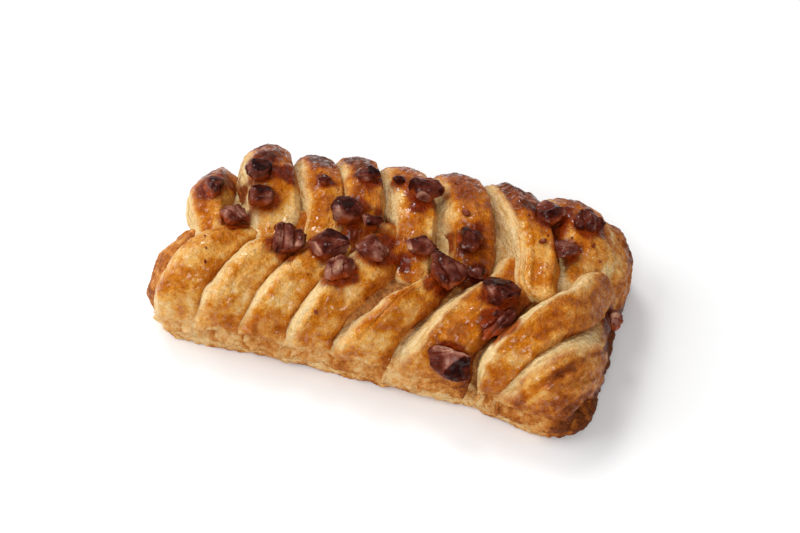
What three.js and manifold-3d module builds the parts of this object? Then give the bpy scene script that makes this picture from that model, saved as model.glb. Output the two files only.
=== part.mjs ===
// A pecan plait: a danish pastry of one loaf of laminated dough with chopped pecans baked onto it.
// Millimetres, +Z up. X runs along the loaf, the strips lean towards +X, and the loaf rests on z = 0.
import * as THREE from "three";
import { mergeVertices } from "three/addons/utils/BufferGeometryUtils.js";
import Module from "manifold-3d";

const wasm = await Module();
wasm.setup();

// The loaf under the strips: half its length, half its width and its heights above the tray.
const HALF_LENGTH = 65;
const HALF_WIDTH = 32;
const FOOT_HEIGHT = 4;
const CROWN_HEIGHT = 25;
const END_RADIUS = 13;
// How boxy the cross-section is: 2 is an ellipse. Then how steep and how narrow the ends are.
const SHOULDER_POWER = 3;
const END_STEEPNESS = 0.7;
const END_NARROWING = 0.14;
// The loaf's surface lies this deep under the strips' undersides, and it is closed this far above the tray.
const LOAF_DEPTH = 0.6;
const LOAF_FLOOR = 1.5;
// The loaf swells towards +X, bends a little away from -Y and is drawn in at its -X, +Y corner.
const SWELL = 0.06;
const BEND = 3.5;
const CORNER_TUCK = 10;
// Its waist: how far its -Y side is drawn in, where along it, and over what length.
const WAIST = 1.8;
const WAIST_PLACE = 31;
const WAIST_LENGTH = 17;

// The rolled sheet that the loaf stands on.
const SHEET_HALF_LENGTH = 69.5;
const SHEET_HALF_WIDTH = 35.5;
const SHEET_THICKNESS = 7;
const SHEET_CORNER = 15;
const SHEET_BEVEL = 1.8;
const SHEET_LEAN = 0.06;

// A strip: its height above the loaf at its foot and at a covered tip, and how deep it is sunk in the loaf.
const STRIP_FOOT = 4;
const STRIP_TIP = 1.4;
const STRIP_SUNK = 3;
// How much wider a strip is at its foot, where it is still one with the sheet.
const FOOT_FLARE = 0.2;
// Where across its width a strip is highest, and how much lower and how sharply its two cut edges drop.
const NEAR_CREST = -0.2;
const FAR_CREST = 0.15;
const EDGE_DROP = 0.72;
const EDGE_SHARPNESS = 2.4;
// How much a strip's height wavers along it.
const UNEVENNESS = 0.35;
// How evenly a strip leans: 1 is a straight lean, and more turns late.
const STRAIGHT_SWEEP = 1.1;
// A strip narrows by this share towards its tip.
const TIP_NARROWING = 0.14;

// The clear gap that a baked-in nut keeps to the dough, and the length from which a nut has finer faces.
const GAP = 0.3;
const LARGE_NUT = 10.5;
// How many flat faces the chopping left on a nut, and how much of a full lump they leave across it.
const CHOPS = 6;
const LEFT_BY_CHOPS = 0.9;
// The share of a nut's depth that is sunk in the dough under it.
const NUT_SUNK = 0.28;
// A lobed nut's lengthwise groove: its depth and half-width as shares of the nut.
const GROOVE_DEPTH = 0.34;
const GROOVE_WIDTH = 0.22;
const NUT_LUMPS = 0.07;

// Each strip runs from its foot to its tip. Along is in mm over the loaf and its rounded ends.
// Around is -1 at the -Y foot, 0 on the centre line and 1 at the +Y foot. Width and heights are in mm.
// Sweep is how late the strip turns towards +X, and slant how much sooner its -X edge ends than the other.
// The order is the order of plaiting: a tip is thin where the next strip of the other side covers it.
const STRIPS = [
  { foot: [-70, -0.82], tip: [-66, -0.06], width: 15, height: 7.2, tipHeight: 4 },
  { foot: [-76, 0.6], tip: [-57, -0.1], width: 16, height: 8.2 },
  { foot: [-60, -1], tip: [-43, 0.04], width: 16, height: 6.2, sweep: 2.4 },
  { foot: [-65.5, 1], tip: [-38, -0.08], width: 21.5, height: 8.6 },
  { foot: [-44.6, -1], tip: [-28, 0.07], width: 15.4, height: 6.6, sweep: 2.4 },
  { foot: [-43.5, 1], tip: [-22, -0.06], width: 16, height: 6.6 },
  { foot: [-31, -1], tip: [-14, 0.05], width: 15.2, height: 6.2, sweep: 2 },
  { foot: [-28, 1], tip: [-9, -0.1], width: 14.5, height: 8 },
  { foot: [-17.5, -1], tip: [-1.5, 0.02], width: 14.7, height: 6.4, sweep: 1.6 },
  { foot: [-14, 1], tip: [9, -0.16], width: 16, height: 7 },
  { foot: [-2.8, -1], tip: [18, 0.01], width: 17.6, height: 7.2, tipHeight: 5, sweep: 1.3, slant: 0.2 },
  { foot: [3, 1], tip: [27, -0.12], width: 16.5, height: 8.2 },
  { foot: [17.4, -1], tip: [39.6, 0.02], width: 20.4, height: 6.8, sweep: 1.25, flare: 0 },
  { foot: [19, 1], tip: [46, -0.08], width: 17.5, height: 7.8, tipHeight: 5 },
  { foot: [39, 1], tip: [59, 0.02], width: 18, height: 7.6 },
  { foot: [40.3, -1], tip: [65.5, 0.1], width: 14.4, height: 7.4, tipHeight: 5, sweep: 2, flare: -0.5 },
  { foot: [60, 0.84], tip: [68, 0.04], width: 19, height: 6.2, tipHeight: 4 },
  { foot: [50, -1], tip: [76, 0.02], width: 24, height: 5.8, tipHeight: 4 },
];

// Each nut lies where along and around say, with this length, width and depth.
// Turn is about the loaf's own normal and lean about the nut's length, both in degrees.
const NUTS = [
  { along: -56, around: 0.03, size: [8.2, 7.2, 6.6], turn: 20, lean: 0 },
  { along: -48.2, around: 0.15, size: [9.2, 7.6, 7], turn: 70, lean: 10 },
  { along: -43.2, around: 0.024, size: [9, 8, 7], turn: 115, lean: -10 },
  { along: -49, around: -0.025, size: [9.8, 7, 6], turn: -30, lean: 8 },
  { along: -29.2, around: -0.128, size: [12.4, 9.4, 8.4], turn: 88, lean: 6, lobed: true },
  { along: -17.3, around: -0.112, size: [13.6, 9.2, 7.4], turn: -12, lean: 12 },
  { along: -16, around: 0.028, size: [11, 8.2, 7.8], turn: 8, lean: 0 },
  { along: -7.4, around: 0.003, size: [7.6, 5.8, 5.8], turn: 25, lean: 0, sunk: 0.05 },
  { along: -3.5, around: -0.077, size: [12.6, 8.6, 7.2], turn: -15, lean: -8, lobed: true },
  { along: -11.2, around: -0.262, size: [10.2, 7.8, 6.8], turn: 80, lean: 10 },
  { along: -26, around: 0.174, size: [5, 3.8, 3.4], turn: -10, lean: 0 },
  { along: -13.6, around: 0.262, size: [7.4, 6, 5.4], turn: 30, lean: 0 },
  { along: -5, around: 0.32, size: [4.2, 3.8, 3.6], turn: 80, lean: 0 },
  { along: 5.2, around: 0.24, size: [11.6, 8.8, 7], turn: -35, lean: 0 },
  { along: 9.6, around: -0.02, size: [10.8, 6.2, 5.6], turn: -4, lean: 0 },
  { along: 23.1, around: 0.01, size: [9.8, 8.2, 7], turn: -12, lean: 0 },
  { along: 20.4, around: -0.12, size: [15.4, 8.8, 7.6], turn: -48, lean: 0, lobed: true },
  { along: 28, around: -0.054, size: [7, 4.8, 3.4], turn: -10, lean: 0 },
  { along: 37, around: -0.165, size: [13, 8.6, 6.6], turn: -14, lean: 14 },
  { along: 39, around: -0.332, size: [15.6, 6.4, 5.6], turn: 56, lean: -20, sunk: 0.45 },
  { along: 28, around: -0.71, size: [16.2, 9, 7.2], turn: -8, lean: 0 },
  { along: 43.4, around: 0.305, size: [10.8, 8.4, 7], turn: -20, lean: 0 },
  { along: 53.8, around: 0.295, size: [10.4, 8.4, 7.4], turn: 25, lean: 0, lobed: true },
  { along: 50.6, around: 0.11, size: [10, 7, 5.2], turn: 25, lean: 0 },
  { along: 68.2, around: 0.008, size: [7.8, 5.4, 4.8], turn: 80, lean: 0, sunk: 0.08 },
];

const doughFinish = new THREE.MeshStandardMaterial({ color: 0xc98a3c, roughness: 0.45, metalness: 0 });
const nutFinish = new THREE.MeshStandardMaterial({ color: 0x4a2318, roughness: 0.35, metalness: 0 });

// A repeatable draw between 0 and 1 for each seed.
function draw(seed) {
  const wave = Math.sin(seed * 127.1 + 311.7) * 43758.5453;
  return wave - Math.floor(wave);
}

// 0 below the start, 1 past the end, and smooth between.
function ease(start, end, value) {
  return THREE.MathUtils.smoothstep(value, start, end);
}

// |value| raised to a power, with its sign kept.
function signedPower(value, power) {
  return Math.sign(value) * Math.abs(value) ** power;
}

// Sideways shift of the loaf where it bends, and of its -Y side at the waist.
function bendAt(x, y) {
  const waist = Math.exp(-(((x - WAIST_PLACE) / WAIST_LENGTH) ** 2)) * ease(0, 1, -y / SHEET_HALF_WIDTH);
  return BEND * (0.5 - (x / HALF_LENGTH) ** 2) + WAIST * waist;
}

// How far a point is drawn in along X at the tucked corner.
function tuckAt(x, y) {
  const towardsEnd = ease(0.45, 1, -x / HALF_LENGTH);
  const towardsBack = ease(0, 1, y / SHEET_HALF_WIDTH);
  return CORNER_TUCK * towardsEnd * towardsBack;
}

// A point on the loaf under the strips.
function loafPoint(along, around) {
  const straight = HALF_LENGTH - END_RADIUS;
  const over = Math.max(Math.abs(along) - straight, 0);
  const angle = Math.min(over / END_RADIUS, Math.PI / 2);
  const belowEnd = Math.max(over - (END_RADIUS * Math.PI) / 2, 0);
  const x = Math.sign(along) * (Math.min(Math.abs(along), straight) + END_RADIUS * Math.sin(angle));
  const swell = 1 + (SWELL * x) / HALF_LENGTH;
  const turn = (around * Math.PI) / 2;
  const narrowed = 1 - END_NARROWING * (1 - Math.cos(angle));
  const y = swell * narrowed * HALF_WIDTH * signedPower(Math.sin(turn), 2 / SHOULDER_POWER);
  const shoulder = Math.abs(Math.cos(turn)) ** (2 / SHOULDER_POWER);
  const rise = shoulder * Math.abs(Math.cos(angle)) ** END_STEEPNESS;
  const z = FOOT_HEIGHT + swell * (CROWN_HEIGHT - FOOT_HEIGHT) * rise - belowEnd;
  return new THREE.Vector3(x + tuckAt(x, y), y + bendAt(x, y), z);
}

// The outward normal of the loaf there.
function loafNormal(along, around) {
  const small = 0.01;
  const lengthwise = loafPoint(along + small, around).sub(loafPoint(along - small, around));
  const sideways = loafPoint(along, around + small).sub(loafPoint(along, around - small));
  return lengthwise.cross(sideways).normalize();
}

// A point this far out from the loaf.
function above(along, around, out) {
  return loafPoint(along, around).addScaledVector(loafNormal(along, around), out);
}

// A box of many small faces, each corner of which is moved to where place(a, b, c) says, a to c from -1 to 1.
function shaped(segments, place) {
  const geometry = new THREE.BoxGeometry(2, 2, 2, ...segments);
  const position = geometry.getAttribute("position");
  for (let i = 0; i < position.count; i += 1) {
    const point = place(position.getX(i), position.getY(i), position.getZ(i));
    position.setXYZ(i, point.x, point.y, point.z);
  }
  return geometry;
}

// A closed geometry as a solid that can be joined and cut.
function solid(geometry) {
  geometry.deleteAttribute("normal");
  geometry.deleteAttribute("uv");
  const merged = mergeVertices(geometry, 1e-4);
  return new wasm.Manifold(
    new wasm.Mesh({
      numProp: 3,
      vertProperties: new Float32Array(merged.getAttribute("position").array),
      triVerts: new Uint32Array(merged.index.array),
    }),
  );
}

// A joined solid as a geometry again.
function geometryOf(body) {
  const mesh = body.getMesh();
  const geometry = new THREE.BufferGeometry();
  geometry.setAttribute("position", new THREE.BufferAttribute(mesh.vertProperties, 3));
  geometry.setIndex(new THREE.BufferAttribute(mesh.triVerts, 1));
  geometry.computeVertexNormals();
  return geometry;
}

// The sheet: a flat rounded rectangle, bent, widened and tucked like the loaf on it.
function sheet() {
  const inside = SHEET_CORNER - SHEET_BEVEL;
  const length = SHEET_HALF_LENGTH - SHEET_CORNER;
  const width = SHEET_HALF_WIDTH - SHEET_CORNER;
  const outline = new THREE.Shape();
  outline.absarc(length, -width, inside, -Math.PI / 2, 0);
  outline.absarc(length, width, inside, 0, Math.PI / 2);
  outline.absarc(-length, width, inside, Math.PI / 2, Math.PI);
  outline.absarc(-length, -width, inside, Math.PI, 1.5 * Math.PI);
  outline.closePath();
  const spaced = new THREE.Shape(outline.getSpacedPoints(72).slice(0, -1));
  const geometry = new THREE.ExtrudeGeometry(spaced, {
    depth: SHEET_THICKNESS - 2 * SHEET_BEVEL,
    bevelThickness: SHEET_BEVEL,
    bevelSize: SHEET_BEVEL,
    bevelSegments: 2,
  });
  geometry.translate(0, 0, SHEET_BEVEL);
  const position = geometry.getAttribute("position");
  for (let i = 0; i < position.count; i += 1) {
    const z = position.getZ(i);
    const leanIn = 1 - SHEET_LEAN * ease(0.4, 1, z / SHEET_THICKNESS);
    const x = position.getX(i) * leanIn;
    const y = position.getY(i) * leanIn * (1 + (SWELL * x) / HALF_LENGTH);
    position.setXYZ(i, x + tuckAt(x, y), y + bendAt(x, y), z);
  }
  return geometry;
}

// The loaf: its domed top, closed by a flat face inside the sheet.
function loaf() {
  const reach = HALF_LENGTH - END_RADIUS + (END_RADIUS * Math.PI) / 2;
  return shaped([20, 10, 1], (a, b, c) => {
    const top = above(a * reach, b, -LOAF_DEPTH);
    return c > 0 ? top : top.setZ(LOAF_FLOOR);
  });
}

// Height of a strip's section, as a share: highest at its crest and rounded down to both cut edges.
function section(across, crest) {
  const reach = across > crest ? 1 - crest : 1 + crest;
  return 1 - EDGE_DROP * (Math.abs(across - crest) / reach) ** EDGE_SHARPNESS;
}

// One strip of dough, thick where it comes up from its foot and thin where the next one covers it.
function strip(shape, index) {
  const { foot, tip, width, height, tipHeight = STRIP_TIP, sweep = STRAIGHT_SWEEP, slant = 0 } = shape;
  const hand = Math.sign(foot[1] - tip[1]);
  const crestAt = hand < 0 ? NEAR_CREST : FAR_CREST;
  const flare = (shape.flare ?? FOOT_FLARE) * ease(0.85, 1, Math.abs(foot[1]));
  return shaped([9, 6, 1], (a, b, c) => {
    const s = (a + 1) / 2;
    const across = Math.sin((b * hand * Math.PI) / 2);
    const wave = UNEVENNESS * Math.sin(5 * s + 9 * draw(index));
    const along = foot[0] + (tip[0] - foot[0]) * s ** sweep;
    const around = foot[1] + (tip[1] - foot[1]) * s * (1 - (slant * (1 - across)) / 2);
    const spread = 1 + flare * (1 - ease(0, 0.4, s)) - TIP_NARROWING * ease(0.7, 1, s);
    const risen = STRIP_FOOT + (height - STRIP_FOOT) * ease(0, 0.4, s);
    const crest = risen + (tipHeight - risen) * ease(0.8, 1, s) + wave;
    const rounded = 1 - (1 - section(across, crestAt)) * ease(0.02, 0.35, s);
    const out = c > 0 ? crest * rounded : -STRIP_SUNK;
    return above(along + (across * spread * width) / 2, around, out);
  });
}

// One chopped nut about its own centre: a rounded lump with flat chopped faces, or with two lobes.
function nut({ size, lobed }, index, swell) {
  const geometry = new THREE.IcosahedronGeometry(1, size[0] < LARGE_NUT ? 1 : 2);
  const position = geometry.getAttribute("position");
  const faces = [];
  for (let k = 0; k < CHOPS; k += 1) {
    const seed = 40 * index + 7 * k;
    const round = (2 * Math.PI * (k + 0.7 * draw(seed))) / CHOPS;
    const normal = new THREE.Vector3().setFromSphericalCoords(1, 0.7 + 1.4 * draw(seed + 1), round);
    faces.push({ normal, reach: 0.52 + 0.24 * draw(seed + 2) });
  }
  const point = new THREE.Vector3();
  for (let i = 0; i < position.count; i += 1) {
    point.fromBufferAttribute(position, i);
    const inGroove = Math.exp(-((point.y / GROOVE_WIDTH) ** 2)) * Math.max(point.z, 0);
    const groove = lobed ? GROOVE_DEPTH * inGroove : 0;
    const lumps = NUT_LUMPS * Math.sin(4 * point.x + index) * Math.cos(5 * point.y - 2 * index);
    point.multiplyScalar(1 + lumps - groove);
    for (const { normal, reach } of faces) {
      point.addScaledVector(normal, -Math.max(point.dot(normal) - reach, 0));
    }
    position.setXYZ(
      i,
      point.x * (size[0] / (2 * LEFT_BY_CHOPS) + swell),
      point.y * (size[1] / (2 * LEFT_BY_CHOPS) + swell),
      point.z * (size[2] / (2 * LEFT_BY_CHOPS) + swell),
    );
  }
  return geometry;
}

// How high the dough stands above the loaf at one place.
function doughHeight(doughMesh, along, around) {
  const far = 60;
  const inward = loafNormal(along, around).negate();
  const ray = new THREE.Raycaster(above(along, around, far), inward);
  return far - ray.intersectObject(doughMesh)[0].distance;
}

// Where a nut lies: on the highest dough under its middle, turned about the loaf's normal and sunk a little.
function seat({ along, around, size, turn, lean, sunk = NUT_SUNK }, doughMesh) {
  const reach = size[1] / 4;
  const under = [-reach, 0, reach].map((step) => doughHeight(doughMesh, along + step, around));
  const out = Math.max(...under) + size[2] * (0.5 - sunk);
  const up = loafNormal(along, around);
  const across = up.clone().cross(new THREE.Vector3(1, 0, 0)).normalize();
  const lengthwise = across.clone().cross(up);
  const place = new THREE.Matrix4().makeBasis(lengthwise, across, up);
  place.multiply(new THREE.Matrix4().makeRotationZ(THREE.MathUtils.degToRad(turn)));
  place.multiply(new THREE.Matrix4().makeRotationX(THREE.MathUtils.degToRad(lean)));
  return place.setPosition(above(along, around, out));
}

// The room under the tray's surface, which the dough doesn't reach into.
function tray() {
  const depth = 40;
  return new THREE.BoxGeometry(400, 400, depth).translate(0, 0, -depth / 2);
}

// The dough is one solid, flat underneath, with a hollow for each nut and no air pockets inside.
let dough = solid(loaf()).add(solid(sheet()));
STRIPS.forEach((each, index) => {
  dough = dough.add(solid(strip(each, index)));
});
dough = dough.subtract(solid(tray()));
const bare = new THREE.Mesh(geometryOf(dough), doughFinish);
const seats = NUTS.map((each) => seat(each, bare));
NUTS.forEach((each, index) => {
  dough = dough.subtract(solid(nut(each, index, GAP).applyMatrix4(seats[index])));
});
dough = dough.decompose().reduce((most, shell) => (shell.volume() > most.volume() ? shell : most));

const plait = new THREE.Group();
const pastry = new THREE.Mesh(geometryOf(dough), doughFinish);
pastry.name = "pastry";
plait.add(pastry);
NUTS.forEach((each, index) => {
  const piece = new THREE.Mesh(nut(each, index, 0), nutFinish);
  piece.name = `pecan_${String(index + 1).padStart(2, "0")}`;
  piece.applyMatrix4(seats[index]);
  plait.add(piece);
});

// The origin is in the middle of the underside.
const box = new THREE.Box3().setFromObject(plait, true);
const middle = box.getCenter(new THREE.Vector3());
plait.position.set(-middle.x, -middle.y, -box.min.z);

export default plait;
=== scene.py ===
import math
import random

import bpy
import numpy as np
from mathutils import Matrix, Vector
from mathutils.bvhtree import BVHTree


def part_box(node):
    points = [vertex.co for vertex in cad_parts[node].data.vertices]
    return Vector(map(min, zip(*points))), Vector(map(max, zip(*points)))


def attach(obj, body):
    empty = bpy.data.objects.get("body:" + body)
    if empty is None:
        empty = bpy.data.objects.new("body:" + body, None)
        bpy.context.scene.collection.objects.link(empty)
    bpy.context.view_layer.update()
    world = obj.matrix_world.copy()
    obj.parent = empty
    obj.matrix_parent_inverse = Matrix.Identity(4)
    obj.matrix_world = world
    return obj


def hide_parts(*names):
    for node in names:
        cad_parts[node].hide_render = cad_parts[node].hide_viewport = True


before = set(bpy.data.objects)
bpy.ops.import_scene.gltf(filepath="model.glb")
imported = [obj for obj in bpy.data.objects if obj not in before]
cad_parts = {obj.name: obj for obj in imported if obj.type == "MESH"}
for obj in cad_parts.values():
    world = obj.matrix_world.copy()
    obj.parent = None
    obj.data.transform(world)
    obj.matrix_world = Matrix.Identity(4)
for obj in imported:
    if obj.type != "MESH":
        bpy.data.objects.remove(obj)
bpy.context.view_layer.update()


# The place where the plait lies: a white painted table under soft daylight from windows on three sides.
# The camera looks down on the long side from which the strips seem to climb to the right.
MM = 0.001
PHOTO_WIDTH = 800
PHOTO_HEIGHT = 533
FOCAL_PIXELS = 1800
VIEW_AZIMUTH = math.radians(16.5)
VIEW_ELEVATION = math.radians(50)
VIEW_DISTANCE = 565 * MM
LOAF_ORIGIN = Vector((-0.2377, -0.0612, 0)) * MM
LOAF_ORIGIN_PIXEL = (393, 299)
SENSOR_WIDTH = 36

back = Vector((
    math.sin(VIEW_AZIMUTH) * math.cos(VIEW_ELEVATION),
    -math.cos(VIEW_AZIMUTH) * math.cos(VIEW_ELEVATION),
    math.sin(VIEW_ELEVATION),
))
right = Vector((math.cos(VIEW_AZIMUTH), math.sin(VIEW_AZIMUTH), 0))
up = back.cross(right)
aside = (LOAF_ORIGIN_PIXEL[0] - PHOTO_WIDTH / 2) / FOCAL_PIXELS
below = (LOAF_ORIGIN_PIXEL[1] - PHOTO_HEIGHT / 2) / FOCAL_PIXELS
bpy.ops.object.camera_add()
camera = bpy.context.object
camera.name = "camera"
camera.data.sensor_width = SENSOR_WIDTH
camera.data.lens = SENSOR_WIDTH * FOCAL_PIXELS / PHOTO_WIDTH
camera.data.clip_start = 10 * MM
camera.data.clip_end = 20
camera.matrix_world = Matrix((right, up, back)).transposed().to_4x4()
camera.matrix_world.translation = LOAF_ORIGIN + VIEW_DISTANCE * (back - aside * right + below * up)
bpy.context.scene.camera = camera
bpy.context.scene.view_settings.view_transform = "Standard"

TABLE_SIZE = 6
TABLE_WHITE = (0.93, 0.93, 0.93, 1)
bpy.ops.object.select_all(action="DESELECT")
bpy.ops.mesh.primitive_plane_add(size=TABLE_SIZE)
table = bpy.context.object
table.name = "table"
table_paint = bpy.data.materials.new("table_paint")
table_paint.use_nodes = True
table_shader = table_paint.node_tree.nodes["Principled BSDF"]
table_shader.inputs["Base Color"].default_value = TABLE_WHITE
table_shader.inputs["Roughness"].default_value = 0.6
table_shader.inputs["Specular IOR Level"].default_value = 0.2
table.data.materials.append(table_paint)

# Each window's place in metres, its width in metres and its power in watts
WINDOWS = {
    "window_back": ((-0.45, 0.55, 0.85), 0.35, 4.6),
    "window_left": ((-0.85, -0.1, 0.75), 0.9, 8.6),
    "window_front": ((0.3, -1.0, 0.9), 0.8, 8.6),
}
SKY_STRENGTH = 0.35
for name, (place, width, power) in WINDOWS.items():
    bpy.ops.object.light_add(type="AREA", location=place)
    light = bpy.context.object
    light.name = name
    light.data.size = width
    light.data.energy = power
    light.rotation_euler = (-Vector(place)).to_track_quat("-Z", "Y").to_euler()
sky = bpy.data.worlds.new("sky")
bpy.context.scene.world = sky
sky.use_nodes = True
sky.node_tree.nodes["Background"].inputs["Color"].default_value = (1, 1, 1, 1)
sky.node_tree.nodes["Background"].inputs["Strength"].default_value = SKY_STRENGTH


# The loaf: the rolled dough that the strips are folded over, soft and pale where it shows between them, with painted
# shade where it shows in the narrow slits on its near side.
# All the dough is one laminated piece, brushed with egg, so one finish serves every part of it.
# Its sizes and its bent, swelling form are those of the solid.
HALF_LENGTH = 65
HALF_WIDTH = 32
FOOT_HEIGHT = 4
CROWN_HEIGHT = 25
END_RADIUS = 13
SHOULDER_POWER = 3
END_STEEPNESS = 0.7
END_NARROWING = 0.14
LOAF_DEPTH = 0.6
LOAF_FLOOR = 1.5
SWELL = 0.06
BEND = 3.5
CORNER_TUCK = 10
WAIST = 1.8
WAIST_PLACE = 31
WAIST_LENGTH = 17
SHEET_HALF_WIDTH = 35.5


def ease(start, end, value):
    """0 below the start, 1 past the end, and smooth between."""
    share = np.clip((value - start) / (end - start), 0, 1)
    return share * share * (3 - 2 * share)


def uneven(points, size, seed):
    """Smooth noise between -1 and 1 that changes over the given size in mm."""
    scaled = np.asarray(points, float) / size
    cell = np.floor(scaled).astype(np.int64)
    part = scaled - cell
    part = part * part * (3 - 2 * part)
    total = np.zeros(len(scaled))
    for corner in np.ndindex(2, 2, 2):
        key = (cell + corner) @ np.array([73856093, 19349663, 83492791]) + seed * 40503
        key = (key ^ (key >> 13)) * 1274126177
        value = ((key ^ (key >> 16)) & 0xFFFF) / 32767.5 - 1
        total += value * np.where(corner, part, 1 - part).prod(axis=1)
    return total


def bend_at(x, y):
    """How far the bent, waisted plait lies towards +Y here, in mm."""
    waist = np.exp(-(((x - WAIST_PLACE) / WAIST_LENGTH) ** 2)) * ease(0, 1, -y / SHEET_HALF_WIDTH)
    return BEND * (0.5 - (x / HALF_LENGTH) ** 2) + WAIST * waist


def tuck_at(x, y):
    """How far the far left corner is tucked in towards +X here, in mm."""
    return CORNER_TUCK * ease(0.45, 1, -x / HALF_LENGTH) * ease(0, 1, y / SHEET_HALF_WIDTH)


def loaf_point(along, around):
    """A point on the loaf, in mm, from the way along it and the way around it from -1 to 1."""
    straight = HALF_LENGTH - END_RADIUS
    over = np.maximum(np.abs(along) - straight, 0)
    angle = np.minimum(over / END_RADIUS, math.pi / 2)
    below_end = np.maximum(over - END_RADIUS * math.pi / 2, 0)
    x = np.sign(along) * (np.minimum(np.abs(along), straight) + END_RADIUS * np.sin(angle))
    swell = 1 + SWELL * x / HALF_LENGTH
    turn = around * math.pi / 2
    narrowed = 1 - END_NARROWING * (1 - np.cos(angle))
    shoulder = np.abs(np.sin(turn)) ** (2 / SHOULDER_POWER)
    y = swell * narrowed * HALF_WIDTH * np.sign(turn) * shoulder
    rise = np.abs(np.cos(turn)) ** (2 / SHOULDER_POWER) * np.abs(np.cos(angle)) ** END_STEEPNESS
    z = FOOT_HEIGHT + swell * (CROWN_HEIGHT - FOOT_HEIGHT) * rise - below_end
    return np.stack([x + tuck_at(x, y), y + bend_at(x, y), z], axis=-1)


def above(along, around, out):
    """A point this far out from the loaf, in mm."""
    along, around, out = np.broadcast_arrays(along, around, out)
    small = 0.01
    # The slope is taken just inside the loaf's feet, because at the feet themselves it has none
    inner = np.clip(around, small - 1, 1 - small)
    lengthwise = loaf_point(along + small, inner) - loaf_point(along - small, inner)
    sideways = loaf_point(along, inner + small) - loaf_point(along, inner - small)
    normal = np.cross(lengthwise, sideways)
    normal /= np.linalg.norm(normal, axis=-1, keepdims=True)
    return loaf_point(along, around) + normal * out[..., None]


def corners_of(piece):
    """The places of a piece's corners in metres, one row for each."""
    places = np.empty(3 * len(piece.data.vertices))
    piece.data.vertices.foreach_get("co", places)
    return places.reshape(-1, 3)


def note(piece, values):
    """Writes values on a piece's corners, where its finish reads them by name."""
    for key, value in values.items():
        kind, field = ("FLOAT_VECTOR", "vector") if value.ndim == 2 else ("FLOAT", "value")
        layer = piece.data.attributes.new(key, kind, "POINT")
        layer.data.foreach_set(field, value.astype(np.float32).ravel())


def mould(name, segments, rings, place):
    """A ball of dough whose rings and segments are drawn out to where place says, with what it says of its browning
    and painted shade.

    place takes the share of the way from pole to pole and round the ball, and gives points in mm and a dict
    of values for each point.
    """
    bpy.ops.object.select_all(action="DESELECT")
    bpy.ops.mesh.primitive_uv_sphere_add(segments=segments, ring_count=rings, radius=1)
    piece = bpy.context.object
    piece.name = name
    ball = corners_of(piece)
    way = np.arccos(np.clip(ball[:, 2], -1, 1)) / math.pi
    round_it = np.arctan2(ball[:, 1], ball[:, 0]) / (2 * math.pi) % 1
    points, values = place(way, round_it)
    piece.data.vertices.foreach_set("co", (points * MM + np.array(LOAF_ORIGIN)).ravel())
    note(piece, values)
    bpy.ops.object.mode_set(mode="EDIT")
    bpy.ops.mesh.select_all(action="SELECT")
    bpy.ops.mesh.normals_make_consistent(inside=False)
    bpy.ops.object.mode_set(mode="OBJECT")
    bpy.ops.object.shade_smooth()
    return piece


def add_node(tree, kind, place, **inputs):
    """A shader node with the given input values, by socket name."""
    node = tree.nodes.new(kind)
    node.location = place
    for key, value in inputs.items():
        node.inputs[key].default_value = value
    return node


def feed(tree, socket, value):
    """Sets an input to a plain value, or links it to another node's output."""
    if isinstance(value, (int, float, tuple)):
        socket.default_value = value
    else:
        tree.links.new(value, socket)


def noted(tree, place, name, output="Fac"):
    """What note wrote on the piece under this name."""
    node = add_node(tree, "ShaderNodeAttribute", place)
    node.attribute_name = name
    return node.outputs[output]


def noise(tree, place, vector, scale, detail, rough=0.6):
    """Noise between about 0.3 and 0.7."""
    node = add_node(tree, "ShaderNodeTexNoise", place, Detail=detail, Roughness=rough)
    feed(tree, node.inputs["Scale"], scale)
    feed(tree, node.inputs["Vector"], vector)
    return node.outputs["Fac"]


def math_node(tree, operation, place, *values):
    """The result of an operation on two or three values."""
    node = add_node(tree, "ShaderNodeMath", place)
    node.operation = operation
    for socket, value in zip(node.inputs, values):
        feed(tree, socket, value)
    return node.outputs[0]


def rescale(tree, place, *values, interpolation="LINEAR"):
    """A value moved from one range to another: the value, the first range's ends, the second range's ends."""
    node = add_node(tree, "ShaderNodeMapRange", place)
    node.interpolation_type = interpolation
    for socket, value in zip(node.inputs, values):
        feed(tree, socket, value)
    return node.outputs[0]


def mix_colour(tree, place, share, first, second, blend="MIX"):
    """The second colour over the first, by its share."""
    node = add_node(tree, "ShaderNodeMix", place)
    node.data_type = "RGBA"
    node.blend_type = blend
    for socket, value in zip((node.inputs["Factor"], node.inputs[6], node.inputs[7]), (share, first, second)):
        feed(tree, socket, value)
    return node.outputs[2]


def ramp(tree, place, share, stops):
    """A colour from a row of stops, each a position and a colour."""
    node = add_node(tree, "ShaderNodeValToRGB", place)
    while len(node.color_ramp.elements) < len(stops):
        node.color_ramp.elements.new(0.5)
    for element, (position, colour) in zip(node.color_ramp.elements, stops):
        element.position = position
        element.color = colour
    feed(tree, node.inputs["Fac"], share)
    return node.outputs["Color"]


# Sugar beads: small shiny drops of syrup, spread over dough and nuts alike
sugar_beads = bpy.data.node_groups.new("sugar_beads", "ShaderNodeTree")
sugar_beads.interface.new_socket("Place", in_out="INPUT", socket_type="NodeSocketVector")
for socket_name in ("Scale", "Dry Below", "Wet Above", "Wetness"):
    sugar_beads.interface.new_socket(socket_name, in_out="INPUT", socket_type="NodeSocketFloat")
for socket_name in ("Beads", "Coat"):
    sugar_beads.interface.new_socket(socket_name, in_out="OUTPUT", socket_type="NodeSocketFloat")
given = add_node(sugar_beads, "NodeGroupInput", (-600, 0)).outputs
beads = noise(sugar_beads, (-400, 100), given["Place"], given["Scale"], 2, 0.5)
beading = rescale(sugar_beads, (-200, 100), beads, given["Dry Below"], given["Wet Above"], 0, 1)
coat = math_node(sugar_beads, "MULTIPLY", (0, 0), given["Wetness"], beading)
result = add_node(sugar_beads, "NodeGroupOutput", (200, 0)).inputs
sugar_beads.links.new(beads, result["Beads"])
sugar_beads.links.new(coat, result["Coat"])


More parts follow.
